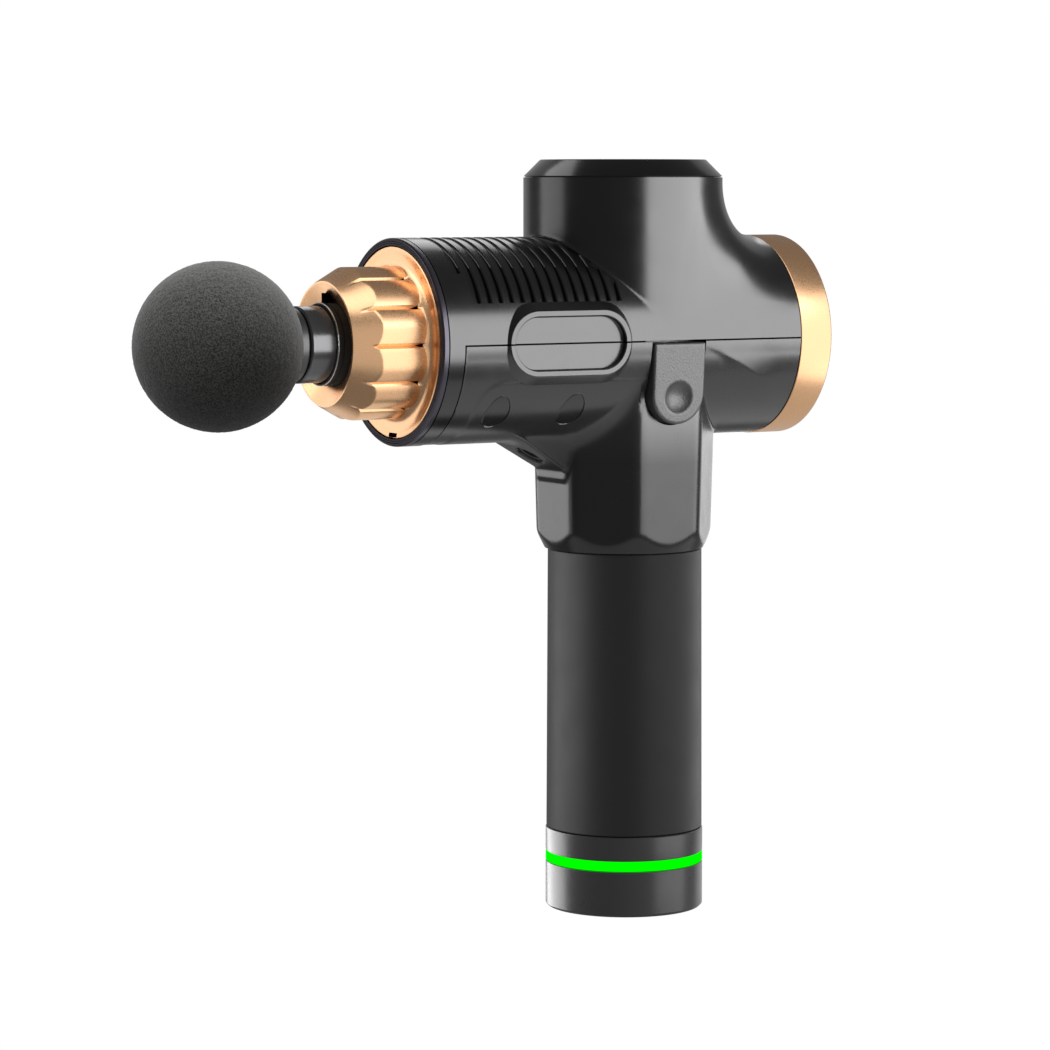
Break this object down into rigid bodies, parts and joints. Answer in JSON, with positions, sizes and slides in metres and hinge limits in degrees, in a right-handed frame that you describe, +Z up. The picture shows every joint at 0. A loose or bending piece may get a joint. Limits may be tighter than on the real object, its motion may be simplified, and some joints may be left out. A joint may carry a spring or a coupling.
{
  "type": "massage gun",
  "caption": "Handheld percussive massage gun: barrel with motor tower, fluted metal nose, foam ball head and a slide-out battery grip with a light ring.",
  "frame": {"origin": "centre of the grip's flat base", "axes": "+Z up along the grip, -X along the barrel towards the ball head"},
  "size_m": [0.2346, 0.068, 0.2458],
  "materials": {
    "shell_black": "satin",
    "gloss_black": "gloss",
    "grip_black": "matte",
    "champagne_metal": "satin",
    "black_metal": "gloss",
    "steel": "satin",
    "dark_steel": "satin",
    "cast_metal": "matte",
    "bronze": "satin",
    "windings": "satin",
    "seal_rubber": "matte",
    "foam": "matte",
    "button_grey": "matte",
    "light": "gloss",
    "circuit_board": "satin",
    "cell_wrap": "satin",
    "contact_plastic": "satin",
    "display_glass": "polished"
  },
  "bodies": {
    "housing": {"upper_shell": "shell_black", "lower_shell": "shell_black", "top_cap": "gloss_black", "front_bezel": "gloss_black", "nose_housing": "champagne_metal", "shaft_seal": "seal_rubber", "front_bushing": "bronze", "guide_bushing": "bronze", "rear_bushing": "bronze", "drive_frame": "cast_metal", "rear_ring": "champagne_metal", "display_lens": "display_glass", "display_board": "circuit_board", "control_board": "circuit_board", "contact_block": "contact_plastic", "dc_socket": "seal_rubber", "motor_mount": "cast_metal", "stator": "windings", "bearing_upper": "steel", "bearing_lower": "steel", "release_spring_left": "steel", "release_spring_right": "steel", "shell_screw_1": "steel", "screw_plug_1": "shell_black", "shell_screw_2": "steel", "screw_plug_2": "shell_black", "shell_screw_3": "steel", "screw_plug_3": "shell_black", "shell_screw_4": "steel", "screw_plug_4": "shell_black"},
    "rotor": {"motor_shaft": "steel", "rotor_bell": "dark_steel", "magnet_ring": "steel", "crank_disc": "steel", "crank_pin": "steel", "pin_roller": "bronze"},
    "piston": {"yoke": "steel", "piston_tube": "black_metal"},
    "attachment": {"attachment_core": "gloss_black", "ball_head": "foam", "o_ring_front": "seal_rubber", "o_ring_rear": "seal_rubber"},
    "release_left": {"release_button_left": "button_grey"},
    "release_right": {"release_button_right": "button_grey"},
    "battery": {"battery_housing": "shell_black", "grip_sleeve": "grip_black", "end_collar": "gloss_black", "light_ring": "light", "end_cap": "gloss_black", "light_board": "circuit_board", "battery_terminals": "bronze", "switch_body": "shell_black", "cell_1": "cell_wrap", "cell_2": "cell_wrap", "cell_3": "cell_wrap", "cell_4": "cell_wrap", "cell_5": "cell_wrap", "cell_6": "cell_wrap"},
    "power_switch": {"power_rocker": "gloss_black"}
  },
  "joints": [
    {"name": "crank_spin", "type": "hinge", "parent": "housing", "child": "rotor", "pos_m": [-0.001, 0, 0.2], "axis": [0, 0, -1], "range_deg": [-90, 90]},
    {"name": "piston_slide", "type": "slide", "parent": "housing", "child": "piston", "axis": [-1, 0, 0], "range_m": [-0.006, 0.006]},
    {"name": "attachment_pull", "type": "slide", "parent": "piston", "child": "attachment", "axis": [-1, 0, 0], "range_m": [0, 0.04]},
    {"name": "release_left_press", "type": "hinge", "parent": "housing", "child": "release_left", "pos_m": [-0.00035, -0.03, 0.186], "axis": [1, 0, 0], "range_deg": [0, 5], "stiffness_Nm_per_rad": 0.6, "springref_deg": -1.72},
    {"name": "release_right_press", "type": "hinge", "parent": "housing", "child": "release_right", "pos_m": [-0.00035, 0.03, 0.186], "axis": [-1, 0, 0], "range_deg": [0, 5], "stiffness_Nm_per_rad": 0.6, "springref_deg": -1.72},
    {"name": "battery_slide", "type": "slide", "parent": "housing", "child": "battery", "axis": [0, 0, -1], "range_m": [0, 0.045]},
    {"name": "power_rocker_tilt", "type": "hinge", "parent": "battery", "child": "power_switch", "pos_m": [0.013, 0, 0.004], "axis": [0, -1, 0], "range_deg": [0, 14]}
  ],
  "couplings": [
    {"joint": "piston_slide", "follows": "crank_spin", "m_per_rad": 0.003819}
  ]
}
